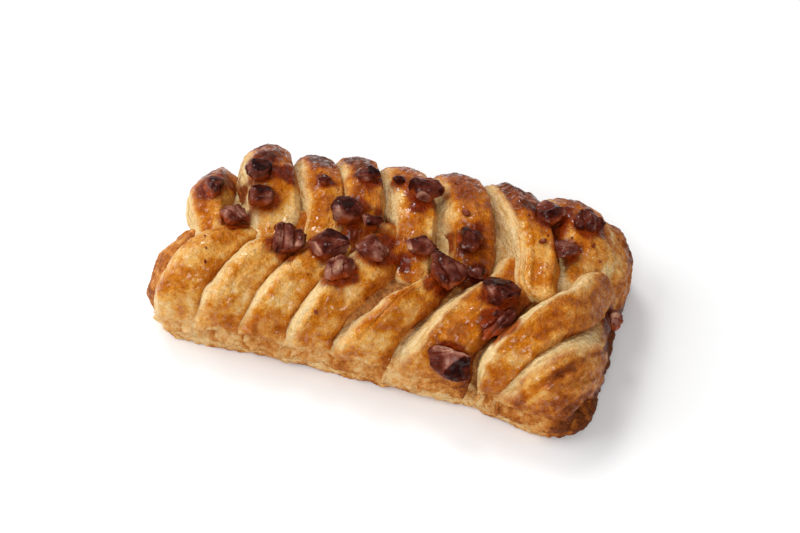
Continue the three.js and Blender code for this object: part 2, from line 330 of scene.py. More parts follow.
def beaded(tree, place, vector, scale, dry_below, wet_above, wetness):
    """Sugar beads in a finish, where its wetness allows: the uneven height and the coat's weight."""
    node = add_node(tree, "ShaderNodeGroup", place)
    node.node_tree = sugar_beads
    for socket, value in zip(node.inputs, (vector, scale, dry_below, wet_above, wetness)):
        feed(tree, socket, value)
    return node.outputs["Beads"], node.outputs["Coat"]


dough_finish = bpy.data.materials.new("baked_dough")
dough_finish.use_nodes = True
dough = dough_finish.node_tree
dough_shader = dough.nodes["Principled BSDF"]
dough_place = add_node(dough, "ShaderNodeTexCoord", (-1800, 0)).outputs["Object"]
noted_brown_and_shade = noted(dough, (-1800, 400), "noted_brown_and_shade")
cut = noted(dough, (-1800, 200), "cut")
glazed = noted(dough, (-1800, 600), "glazed")
sticky = noted(dough, (-1800, 800), "sticky")
grain = noted(dough, (-1800, -600), "grain", "Vector")
patches = noise(dough, (-1500, 600), dough_place, 125, 2.5, 0.5)
mottles = noise(dough, (-1500, 400), dough_place, 480, 4, 0.7)
specks = noise(dough, (-1500, 200), dough_place, 1500, 2)
fibres = noise(dough, (-1500, -600), grain, 1, 3)

# How brown the crust is, together with the painted shade noted on the pieces: as noted, with soft patches, mottles,
# specks and fibres
patch_edge = rescale(dough, (-1350, 700), patches, 0.36, 0.64, -0.17, 0.19, interpolation="SMOOTHSTEP")
patch_strength = math_node(dough, "MULTIPLY", (-1350, 500), noted_brown_and_shade, 3)
patch_strength = math_node(dough, "MINIMUM", (-1275, 500), patch_strength, 0.9)
brown_and_shade_tone = math_node(dough, "MULTIPLY_ADD", (-1200, 600), patch_edge, patch_strength, noted_brown_and_shade)
brown_and_shade_tone = math_node(dough, "MULTIPLY_ADD", (-1050, 600), mottles, 0.64, brown_and_shade_tone)
brown_and_shade_tone = math_node(dough, "MULTIPLY_ADD", (-900, 600), specks, 0.26, brown_and_shade_tone)
brown_and_shade_tone = math_node(dough, "MULTIPLY_ADD", (-750, 600), fibres, 0.14, brown_and_shade_tone)
brown_and_shade_tone = math_node(dough, "SUBTRACT", (-600, 600), brown_and_shade_tone, 0.52)
darkest = math_node(dough, "ADD", (-600, 500), noted_brown_and_shade, 0.18)
brown_and_shade_tone = math_node(dough, "MINIMUM", (-525, 600), brown_and_shade_tone, darkest)
dryness = math_node(dough, "SUBTRACT", (-900, 750), 1, glazed)
speckle = math_node(dough, "SUBTRACT", (-900, 850), mottles, 0.5)
speckle = math_node(dough, "MULTIPLY", (-750, 800), speckle, dryness)
brown_and_shade_tone = math_node(dough, "MULTIPLY_ADD", (-600, 700), speckle, 0.9, brown_and_shade_tone)

# Crust with and without its glaze, pale crumb where it is cut, and syrup that stains both
sugared = ramp(dough, (-450, 700), brown_and_shade_tone, (
    (0.0, (0.82, 0.56, 0.25, 1)),
    (0.18, (0.73, 0.365, 0.080, 1)),
    (0.38, (0.56, 0.175, 0.008, 1)),
    (0.58, (0.40, 0.090, 0.003, 1)),
    (0.8, (0.22, 0.036, 0.003, 1)),
    (1.0, (0.09, 0.013, 0.003, 1)),
))
dry = ramp(dough, (-450, 450), brown_and_shade_tone, (
    (0.0, (0.80, 0.52, 0.235, 1)),
    (0.3, (0.67, 0.315, 0.088, 1)),
    (0.55, (0.50, 0.165, 0.027, 1)),
    (0.8, (0.31, 0.078, 0.013, 1)),
    (1.0, (0.14, 0.032, 0.008, 1)),
))
brushed = noise(dough, (-1500, 1000), dough_place, 210, 3)
brushing = rescale(dough, (-1350, 1000), brushed, 0.36, 0.52, 0.4, 1, interpolation="SMOOTHSTEP")
glaze = math_node(dough, "MULTIPLY", (-600, 900), brushing, glazed)
crust = mix_colour(dough, (-250, 600), glaze, dry, sugared)
inside = ramp(dough, (-450, 200), fibres, (
    (0.32, (0.52, 0.28, 0.08, 1)),
    (0.45, (0.76, 0.53, 0.23, 1)),
    (0.66, (0.87, 0.69, 0.41, 1)),
))
crumb_brown_and_shade = math_node(dough, "MULTIPLY", (-600, 350), brown_and_shade_tone, 0.55)
inside = mix_colour(dough, (-250, 300), crumb_brown_and_shade, inside, (0.55, 0.21, 0.025, 1))
dough_colour = mix_colour(dough, (-100, 400), cut, crust, inside)
caramel = ramp(dough, (-250, 850), mottles, (
    (0.38, (0.20, 0.028, 0.004, 1)),
    (0.62, (0.54, 0.155, 0.015, 1)),
))
stained = mix_colour(dough, (-50, 700), 1.0, dough_colour, caramel, "MULTIPLY")
dough_colour = mix_colour(dough, (50, 500), sticky, dough_colour, stained)
feed(dough, dough_shader.inputs["Base Color"], dough_colour)

# Gloss: beads of syrup on the glaze, fewer where it ran together
runny = math_node(dough, "MULTIPLY_ADD", (-1050, 0), sticky, -0.55, 1)
wetness = math_node(dough, "MULTIPLY", (-900, 0), glaze, runny)
beads, coat = beaded(dough, (-750, 0), dough_place, 620, 0.51, 0.59, wetness)
coat = math_node(dough, "MULTIPLY_ADD", (-600, 0), sticky, 0.08, coat)
feed(dough, dough_shader.inputs["Coat Weight"], coat)
rough = math_node(dough, "MULTIPLY_ADD", (-750, -100), glaze, -0.25, 0.5)
rough = math_node(dough, "MULTIPLY_ADD", (-600, -100), mottles, 0.16, rough)
feed(dough, dough_shader.inputs["Roughness"], rough)
height = math_node(dough, "MULTIPLY_ADD", (-450, -300), cut, 0.75, 0.08)
height = math_node(dough, "MULTIPLY", (-300, -300), height, fibres)
height = math_node(dough, "MULTIPLY_ADD", (-150, -300), mottles, 1.8, height)
height = math_node(dough, "MULTIPLY_ADD", (0, -300), specks, 1.0, height)
height = math_node(dough, "MULTIPLY_ADD", (75, -400), beads, 1.6, height)
bump = add_node(dough, "ShaderNodeBump", (150, -300), Strength=1, Distance=0.6 * MM)
feed(dough, bump.inputs["Height"], height)
feed(dough, dough_shader.inputs["Normal"], bump.outputs["Normal"])
for socket_name, value in {
    "Coat Roughness": 0.1,
    "Specular IOR Level": 0.15,
    "Specular Tint": (1, 0.55, 0.15, 1),
    "Subsurface Weight": 0.1,
    "Subsurface Radius": (1.0, 0.5, 0.25),
    "Subsurface Scale": 1.5 * MM,
}.items():
    dough_shader.inputs[socket_name].default_value = value


def loaf_shape(way, round_it):
    """The loaf as a ball: its poles at both ends, its near foot, crown and far foot on top, its floor below."""
    reach = HALF_LENGTH - END_RADIUS + END_RADIUS * math.pi / 2
    along = (2 * way - 1) * reach
    on_top = 0.8
    around = np.where(round_it < on_top, 1 - 2 * round_it / on_top, 2 * (round_it - on_top) / (1 - on_top) - 1)
    points = above(along, np.clip(around, -1, 1), -LOAF_DEPTH)
    crumbly = 0.5 * uneven(points, 3, 11) + 0.4 * uneven(points, 1.3, 12)
    points[:, 2] += crumbly * (points[:, 2] > 8)
    points[round_it >= on_top, 2] = LOAF_FLOOR
    values = {
        # The near side, seen only in the narrow slits between the near strips, is darker and less crumb-like: painted
        # shade of the slits
        "noted_brown_and_shade": 0.22 + 0.2 * uneven(points, 4, 13) + 0.4 * ease(-2, -8, points[:, 1]),
        "cut": 0.8 - 0.6 * ease(-2, -8, points[:, 1]),
        "glazed": np.zeros(len(points)),
        "sticky": np.zeros(len(points)),
        "grain": np.stack([along * 0.5, around * 30, points[:, 2]], axis=-1),
    }
    return points, values


loaf = mould("loaf", 120, 150, loaf_shape)
loaf.data.materials.append(dough_finish)
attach(loaf, "root")
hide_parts("pastry")


# The sheet: the layered sheet of dough that the loaf was rolled on, which is what rests on the table.
# It was cut with a wheel, so its edge is a stack of thin baked leaves, brown and flaking.
SHEET_HALF_LENGTH = 69.5
SHEET_THICKNESS = 7
SHEET_CORNER = 15
SHEET_BEVEL = 1.8
SHEET_LEAN = 0.06
LEAF = 2
UNDERSIDE = 0.1
EDGE_TOP = 0.86


def relief(piece, name, size, depth):
    """Presses a fine uneven relief into a piece, of this size and depth in mm."""
    texture = bpy.data.textures.new(name, "CLOUDS")
    texture.noise_scale = size * MM
    press = piece.modifiers.new(name, "DISPLACE")
    press.texture = texture
    press.texture_coords = "LOCAL"
    press.strength = depth * MM
    press.mid_level = 0.5
    bpy.context.view_layer.objects.active = piece
    bpy.ops.object.modifier_apply(modifier=name)


def sheet_outline(share):
    """Points on the sheet's outline, a rectangle with round corners, by the share of the way round it."""
    length = SHEET_HALF_LENGTH - SHEET_CORNER
    width = SHEET_HALF_WIDTH - SHEET_CORNER
    corners = []
    for number, (x, y) in enumerate(((length, -width), (length, width), (-length, width), (-length, -width))):
        angle = (number - 1) * math.pi / 2 + np.linspace(0, math.pi / 2, 24)
        corners.append(np.stack([x + SHEET_CORNER * np.cos(angle), y + SHEET_CORNER * np.sin(angle)], axis=-1))
    path = np.concatenate(corners + [corners[0][:1]])
    run = np.concatenate([[0], np.cumsum(np.linalg.norm(np.diff(path, axis=0), axis=1))])
    distance = share * run[-1]
    return np.stack([np.interp(distance, run, path[:, axis]) for axis in (0, 1)], axis=-1), distance


def sheet_shape(way, round_it):
    """The sheet as a ball: its underside from one pole, its leafy edge, and its hidden top to the other pole."""
    upward = 1 - way
    outline, run = sheet_outline(round_it)
    rise = np.clip((upward - UNDERSIDE) / (EDGE_TOP - UNDERSIDE), 0, 1)
    height = rise * SHEET_THICKNESS
    line = np.stack([run, 0 * run, 0 * run], axis=-1)
    spot = np.stack([run, height, 0 * run], axis=-1)
    leaf = height / LEAF + 1.4 * uneven(spot * (0.35, 1, 1), 3, 3) + 0.5 * uneven(spot, 1.8, 4)
    seam = np.abs(leaf - np.round(leaf))
    crevice = np.exp(-((seam / 0.1) ** 2)) * ease(-0.4, 0.2, uneven(spot * (0.5, 1, 1), 4, 14))
    pebbles = 0.9 * uneven(spot * (0.7, 1, 1), 3.4, 5) + 0.5 * uneven(spot, 1.5, 6) + 0.8 * uneven(line, 11, 8)
    bottom_round = SHEET_BEVEL * (1 - np.sqrt(1 - (1 - np.clip(height / SHEET_BEVEL, 0, 1)) ** 2))
    side = ((upward > UNDERSIDE) & (upward < EDGE_TOP)).astype(float)
    swollen = pebbles * ease(0, 0.25, rise) - 0.55 * crevice + 0.7 * np.sin(math.pi * rise)
    inset = 0.8 * bottom_round - 0.85 * side * swollen
    on_top = np.where(upward > EDGE_TOP, (1 - upward) / (1 - EDGE_TOP), 1)
    scale = np.where(upward < UNDERSIDE, upward / UNDERSIDE, on_top)
    lean = 1 - SHEET_LEAN * ease(0.4, 1, rise)
    size = np.linalg.norm(outline, axis=1)
    flat = outline * (lean * scale * (1 - inset / size))[:, None]
    x = flat[:, 0]
    y = flat[:, 1] * (1 + SWELL * x / HALF_LENGTH)
    points = np.stack([x + tuck_at(x, y), y + bend_at(x, y), height], axis=-1)
    # The crevices between the leaves are darker: painted shade in the crevices
    browned_and_shaded = 0.22 + 0.15 * uneven(points, 12, 9) + 0.14 * uneven(spot, 2.4, 10) + 0.35 * crevice * side
    # Much darker at the right end: browner crust there, and painted shade of the shaded lower right corner
    browned_and_shaded = browned_and_shaded - 0.06 * ease(0.3, 0.9, rise) + 0.75 * ease(55, 67, x) + 0.42 * ease(0.45, 0, rise)
    browned_and_shaded = browned_and_shaded - 0.2 * ease(-30, -58, x) - 0.08 * ease(40, 25, x)
    browned_and_shaded = browned_and_shaded + 0.15 * ease(0, 25, y)
    values = {
        "noted_brown_and_shade": browned_and_shaded,
        "cut": np.clip(0.15 + 0.25 * pebbles, 0, 0.4) * ease(62, 48, x) * ease(0, 0.35, rise),
        "glazed": np.full(len(points), 0.1),
        "sticky": np.zeros(len(points)),
        "grain": np.stack([run * 0.25, height * 1.6, 0 * run], axis=-1),
    }
    return points, values


sheet = mould("sheet", 840, 34, sheet_shape)
relief(sheet, "sheet_lumps", 6, 1.6)
relief(sheet, "sheet_flakes", 2.2, 1.1)
relief(sheet, "sheet_crumbs", 0.9, 0.4)
settled = corners_of(sheet)
settled[:, 2] = np.maximum(settled[:, 2], 0)
sheet.data.vertices.foreach_set("co", settled.ravel())
sheet.data.materials.append(dough_finish)
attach(sheet, "root")
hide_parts("pastry")


# The strips: the two sides of the sheet, slit into strips and folded over the loaf in turn, near and far.
# Each keeps a browned, egg-glazed skin on top. Its cut side, towards -X, shows the pale leaves fanned open.
# Foot and tip are the way along in mm and around the loaf, and the sizes are those of the solid.
STRIPS = [
    {"foot": (-70, -0.82), "tip": (-66, -0.06), "width": 15, "height": 7.2, "tip_height": 4, "tone": 0.3,
     "right": 0.9, "glaze": 0.1},
    {"foot": (-76, 0.6), "tip": (-57, -0.1), "width": 16, "height": 8.2, "tone": 0.28, "end": -0.28, "skin": -0.15},
    {"foot": (-60, -1), "tip": (-43, 0.04), "width": 16, "height": 6.2, "sweep": 2.4, "lip": 0.1, "tone": 0.07,
     "right": 0.5, "foot_tone": -0.2},
    {"foot": (-65.5, 1), "tip": (-38, -0.08), "width": 21.5, "height": 8.6, "tone": 0.24, "end": -0.36,
     "skin": -0.5, "slopes": (0.5, 0.5)},
    {"foot": (-44.6, -1), "tip": (-28.6, 0.03), "width": 15.4, "height": 6.6, "sweep": 2.4, "lip": 0.6, "tone": 0,
     "end": 0.14, "right": 0.35, "tip_height": 0.6},
    {"foot": (-43.5, 1), "tip": (-22, -0.06), "width": 16, "height": 6.6, "tone": 0.26, "skin": -0.66},
    {"foot": (-31, -1), "tip": (-14, 0.05), "width": 15.2, "height": 6.2, "sweep": 2, "lip": 1.1, "tone": -0.04,
     "skin": -0.7},
    {"foot": (-28, 1), "tip": (-9, -0.1), "width": 14.5, "height": 8, "tone": 0.27, "skin": -0.76, "end": -0.12},
    {"foot": (-17.5, -1), "tip": (-1.5, 0.02), "width": 14.7, "height": 6.4, "sweep": 1.6, "lip": 0.4, "right": 0.8,
     "skin": -0.6, "tone": 0.03, "tip_height": 5, "reach": 3.5, "foot_tone": -0.06},
    {"foot": (-14, 1), "tip": (9, -0.16), "width": 16, "height": 7, "tone": 0.06, "end": 0.12, "skin": -0.68},
    {"foot": (-2.8, -1), "tip": (18, 0.01), "width": 17.6, "height": 7.2, "tip_height": 5, "sweep": 1.3, "slant": 0.2,
     "skin": -0.78, "right": 0.6, "lip": 0.3, "open": 0.3, "tone": 0.13, "crease": -0.3, "foot_tone": -0.06},
    {"foot": (3, 1), "tip": (27, -0.12), "width": 16.5, "height": 8.2, "tone": 0.16, "end": 0.16, "skin": -0.78},
    {"foot": (17.4, -1), "tip": (39.6, 0.02), "width": 20.4, "height": 6.8, "sweep": 1.25, "flare": 0,
     "crest": -0.5, "slopes": (0.8, 0.25), "skin": -0.55, "right": 0.9, "lip": 0.2, "open": 0.8, "tone": 0.27,
     "skirt": 5, "foot_tone": -0.1, "end": -0.16},
    {"foot": (19, 1), "tip": (46, -0.08), "width": 17.5, "height": 7.8, "tip_height": 5, "streaks": 0.1,
     "creases": 0.45, "crest": -0.1, "slopes": (0.4, 0.3), "skin": -0.6, "open": 0.8, "tone": 0.3, "end": -0.34,
     "right": 1},
    {"foot": (39, 1), "tip": (59, 0.02), "width": 18, "height": 7.6, "tone": 0.08, "skin": -0.7, "end": -0.16},
    {"foot": (40.3, -1), "tip": (65.5, 0.1), "width": 14.4, "height": 7.4, "tip_height": 5, "sweep": 2, "flare": -0.5,
     "crest": -0.5, "slopes": (0.3, 0.35), "skin": -0.62, "right": 0.8, "lip": 0.1, "open": 0.4, "tone": 0.18,
     "end": -0.04, "foot_tone": -0.1},
    {"foot": (60, 0.84), "tip": (68, 0.04), "width": 19, "height": 6.2, "tip_height": 4, "tone": 0, "end": 0.05,
     "streaks": 0.15, "creases": 0.8},
    {"foot": (50, -1), "tip": (76, 0.02), "width": 24, "height": 5.8, "tip_height": 4,
     "crest": -0.4, "slopes": (0.5, 0.35), "skin": -0.58, "right": 1.2, "lip": 0.4, "open": 0.6, "tone": 0.29,
     "end": 0.1, "streaks": 0.22, "creases": 0.8, "foot_tone": -0.12},
]
# What a strip has where its own row doesn't say otherwise, then what differs by side
USUAL_STRIP = {
    "tip_height": 1.4, "sweep": 1.1, "slant": 0, "flare": 0.2, "skirt": 0, "reach": 0, "lip": 0.4, "open": 0.1,
    "crease": 9, "creases": 0, "streaks": 0.06, "tone": 0, "foot_tone": 0, "right": 0.25, "glaze": 1,
}
NEAR_STRIP = {"crest": -0.3, "slopes": (0.25, 0.75), "drop": 0.86, "flank": 1.2, "skin": -0.74, "end": -0.06}
FAR_STRIP = {"crest": 0.1, "slopes": (0.5, 0.25), "drop": 0.72, "flank": 2.2, "skin": -0.42, "end": -0.22}
STRIP_FOOT = 4
STRIP_SUNK = 3
STRIP_LOWEST = 1
STRIP_RUN = 45
STRIP_LEAF = 0.95
TIP_NARROWING = 0.14
END_CAP = 0.06
END_ROUND = 0.045
CARAMEL_REACH = 2.8
# Pools of syrup with no nut in them: the place in mm and the size in mm
SYRUP = [
    ((2.3, -7.5, 29.2), 3), ((5.6, -6, 26.6), 3), ((16.1, 5.7, 25), 3.5), ((28.4, -4.3, 27.9), 2.5),
    ((-50.7, 6.9, 25), 3), ((4.2, 12.9, 31.6), 2.5), ((-1.9, -1.6, 29.4), 3.5), ((-38.3, 15.1, 31.2), 4),
    ((-56.8, 10.5, 26.6), 4), ((-62, 4.5, 28.9), 3.5), ((-13.4, 1.6, 27.7), 3.5), ((-5.5, 7.1, 27), 3.5),
    ((-48, 18.3, 30.5), 4.5), ((47.8, 16.9, 29), 3), ((-41.9, 14.2, 31.9), 3),
]

# Where the nuts lie and how big they are, in mm, because syrup gathers round them
nut_spots = []
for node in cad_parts:
    if node.startswith("pecan"):
        low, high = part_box(node)
        size = sorted(high - low)[1] / 2
        nut_spots.append((np.array((low + high) / 2 - LOAF_ORIGIN) / MM, size / MM))


def strip_shape(strip, seed):
    """One strip as a ball: its poles at foot and tip, its left wall, top, right wall and underside round it.

    Of a strip's values, sweep, slant, flare, skirt and reach draw its outline, crest, slopes, drop and flank its
    section, lip the fold at its foot, skin and open its fanned leaves, crease, creases and streaks the lines along
    it. tone, foot_tone, end and right say how brown it is all over, at its foot, at its tip and on its right side.
    """
    foot, tip = strip["foot"], strip["tip"]
    far_side = float(foot[1] > 0)
    strip = {**USUAL_STRIP, **(FAR_STRIP if far_side else NEAR_STRIP), **strip}
    flare = strip["flare"] * ease(0.85, 1, abs(foot[1]))
    sweep, slant, crest_at = strip["sweep"], strip["slant"], strip["crest"]
    left_slope, right_slope = strip["slopes"]
    drop, flank_reach, fanned = strip["drop"], strip["flank"], strip["open"]
    on_top, left_wall, right_wall = 0.84, 0.08, 0.93

    def place(way, round_it):
        climb = np.clip((way - END_CAP) / (1 - 2 * END_CAP), 0, 1)
        round_end = np.clip(np.minimum(way, 1 - way) / END_CAP, 0, 1) * math.pi / 2
        fullness = np.sin(round_end)
        beyond = END_ROUND * np.cos(round_end) * (way > 0.5)
        lap = round_it / on_top
        top_share = np.clip((lap - left_wall) / (right_wall - left_wall), 0, 1)
        across = 2 * top_share ** 1.15 - 1
        across = np.where(lap > 1, 1 - 2 * (round_it - on_top) / (1 - on_top), across)
        run = climb * STRIP_RUN
        depth = np.full_like(run, 17.0 * seed)
        here = np.stack([run, across * strip["width"] / 2, depth], axis=-1)
        edge = np.stack([run, np.where(across > 0, 50, 0), depth], axis=-1)
        line = np.stack([run, 0 * run, depth], axis=-1)
        hem = np.stack([0 * run, across * strip["width"] / 2, depth], axis=-1)

        # Its section: a rounded top that falls away to both sides, and the fold at its foot
        on_left = across < crest_at
        off_crest = np.where(on_left, (crest_at - across) / (1 + crest_at), (across - crest_at) / (1 - crest_at))
        slope = np.where(on_left, left_slope, right_slope)
        edge_drop = ease(np.where(on_left, 0.6, 0.8), 1, off_crest)
        crown = 1 - drop * (slope * off_crest ** 1.3 + (1 - slope) * edge_drop)
        rounded = 1 - (1 - crown) * ease(0.03, 0.2, climb)
        risen = STRIP_FOOT + (strip["height"] - STRIP_FOOT) * ease(0, 0.35, climb)
        crest = risen + (strip["tip_height"] - risen) * ease(0.8, 1, climb)
        lip = strip["lip"] * (1 + 0.7 * uneven(hem, 5, 20))
        foot_way = climb - 0.03 * uneven(hem, 4, 22) - 0.015 * uneven(hem, 1.5, 24)
        fold = 1.4 * lip * np.exp(-((foot_way - 0.15) / 0.05) ** 2)
        fold = fold - (0.8 + 1.1 * lip) * np.exp(-((foot_way - 0.06) / 0.028) ** 2)
        fold = fold - 0.6 * uneven(hem, 3, 26) * (1 - ease(0.03, 0.1, climb))
        crest = crest + fold + 0.5 * uneven(line, 11, 21)
        out = crest * rounded
        flank = ease(-0.6, -1, across) * ease(0.1, 0.25, climb)
        out = out - 0.9 * flank_reach * flank

        # Its leaves, fanned open under the edge of the skin, and the creases in it
        skin_edge = strip["skin"] + 0.14 * uneven(line, 9, 23) + 0.08 * uneven(line, 2.5, 25)
        open_side = ease(0.1, 0.24, climb) * (1 - 0.5 * ease(0.85, 1, climb))
        under_skin = ease(-0.16, 0.16, skin_edge - across) * open_side
        level = out / STRIP_LEAF + 0.9 * uneven(here, 8, 27) + 0.45 * uneven(here, 2.2, 29)
        leaf_number = np.floor(level)
        terrace = (leaf_number + ease(0.2, 0.8, level - leaf_number) - level) * STRIP_LEAF
        out = out + under_skin * fanned * (terrace * 0.7 - 0.3)
        skin_lip = np.exp(-((across - skin_edge - 0.04) / 0.05) ** 2) * open_side * fanned
        out = out + 0.35 * skin_lip
        creased = np.exp(-((across - strip["crease"]) / 0.06) ** 2)
        creased = creased * ease(0.25, 0.45, climb) * ease(0.98, 0.8, climb)
        out = out - 0.7 * creased
        out = out + 0.22 * uneven(here * (0.35, 1, 1), 1.4, 31) * ease(0.05, 0.2, climb)
        out = out + strip["creases"] * uneven(here * (0.07, 1, 1), 1.5, 34) * ease(0.03, 0.15, climb)
        rough_foot = ease(0.2, 0.06, climb + 0.05 * uneven(here, 5, 42))
        out = out + (0.9 * uneven(here, 2.2, 32) + 0.5 * uneven(here, 1, 43)) * rough_foot

        # Its walls and ends, and where it lies on the loaf
        on_right = np.where((lap > right_wall) & (lap <= 1), (1 - lap) / (1 - right_wall), 1)
        wall = np.where(lap < left_wall, lap / left_wall, on_right)
        out = -STRIP_SUNK + (out + STRIP_SUNK) * wall
        out = np.where(lap > 1, -STRIP_SUNK, out)
        middle = 0.3 * crest
        out = middle + (out - middle) * fullness
        widening = 1 + flare * (1 - ease(0, 0.4, climb)) - TIP_NARROWING * ease(0.7, 1, climb)
        half = widening * strip["width"] / 2 + 0.45 * uneven(edge, 6, 33)
        reached = climb * (1 - END_ROUND / 2) + beyond
        along = foot[0] + (tip[0] - foot[0]) * reached ** sweep + across * half * fullness
        along = along - flank_reach * flank * (1 - ease(0.75, 0.95, climb))
        right_edge = ease(0.2, 1, across)
        drawn_out = strip["skirt"] * ease(0.4, 0, climb) + strip["reach"] * ease(0.5, 1, climb)
        along = along + right_edge * drawn_out
        around = foot[1] + (tip[1] - foot[1]) * reached * (1 - slant * (1 - across) / 2)
        points = above(along, around, out)
        points[:, 2] = np.maximum(points[:, 2], STRIP_LOWEST)

        # How brown it is, with painted shade on the near strips' right sides and at the lower right end, and where
        # syrup ran from the nuts
        ragged = across + 0.2 * uneven(here, 6, 36) + 0.1 * uneven(here, 2.5, 38)
        on_top_face = ease(skin_edge - 0.1, skin_edge + 0.4, ragged)
        on_top_face = on_top_face * (1 - (1 - strip["right"]) * ease(0.3, 0.95, ragged))
        at_foot = np.exp(-((foot_way - 0.19) / 0.09) ** 2) * strip["lip"]
        browned_and_shaded = 0.03 + 0.27 * on_top_face + 0.28 * at_foot + strip["tone"]
        browned_and_shaded = browned_and_shaded + far_side * (0.1 + 0.3 * (1 - ease(0.45, 0.8, climb))) * (0.4 + 0.6 * on_top_face)
        browned_and_shaded = browned_and_shaded + 0.1 * uneven(here, 9, 35) + 0.07 * uneven(here, 3.6, 37)
        browned_and_shaded = browned_and_shaded + strip["end"] * ease(0.7, 0.97, climb)
        # Darker towards the right end, most of all low down: browner crust there, and painted shade of the shaded
        # lower right corner
        browned_and_shaded = browned_and_shaded + ease(52, 66, points[:, 0]) * (0.08 + 0.3 * ease(16, 5, points[:, 2]))
        browned_and_shaded = browned_and_shaded + 0.3 * skin_lip - 0.1 * under_skin - 0.15 * creased
        # Darker towards the right edge of each near strip: painted shade of the right sides and the slits, which face
        # away from the windows
        browned_and_shaded = browned_and_shaded + (1 - far_side) * 0.28 * ease(0.6, 1, across)
        browned_and_shaded = browned_and_shaded + strip["foot_tone"] * ease(0.5, 0.2, climb)
        browned_and_shaded = browned_and_shaded + strip["streaks"] * uneven(here * (0.12, 1, 1), 1.3, 41)
        caramel = np.zeros(len(points))
        for spot, size in nut_spots + [(np.array(spot), size - 1.5) for spot, size in SYRUP]:
            gap = np.linalg.norm(points - spot, axis=1) - size
            caramel = np.maximum(caramel, ease(CARAMEL_REACH, 0.8, gap + 1.5 * uneven(points, 3, 39)))
        glazed_skin = np.clip(1 - under_skin, 0, 1) * (1 - rough_foot) * strip["glaze"]
        values = {
            "noted_brown_and_shade": browned_and_shaded,
            "cut": np.clip(under_skin, 0, 1) * 0.95,
            "glazed": glazed_skin * (1 - 0.5 * ease(50, 68, points[:, 0])),
            "sticky": caramel * 0.95,
            "grain": np.stack([run * 0.14, across * strip["width"] * 0.8, np.full_like(run, 3.0 * seed)], axis=-1),
        }
        return points, values

    return place


def join(pieces, name):
    """Several pieces as one."""
    bpy.ops.object.select_all(action="DESELECT")
    for piece in pieces:
        piece.select_set(True)
    bpy.context.view_layer.objects.active = pieces[0]
    bpy.ops.object.join()
    joined = bpy.context.object
    joined.name = name
    return joined


strips = {"near_strips": [], "far_strips": []}
for number, strip in enumerate(STRIPS):
    side = "near_strips" if strip["foot"][1] < 0 else "far_strips"
    strips[side].append(mould(f"strip_{number}", 76, 126, strip_shape(strip, number + 1)))
for side, pieces in strips.items():
    folded = join(pieces, side)
    relief(folded, side + "_lumps", 5, 0.9)
    relief(folded, side + "_blisters", 2, 0.7)
    relief(folded, side + "_pimples", 0.7, 0.2)
    folded.data.materials.append(dough_finish)
    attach(folded, "root")
    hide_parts("pastry")


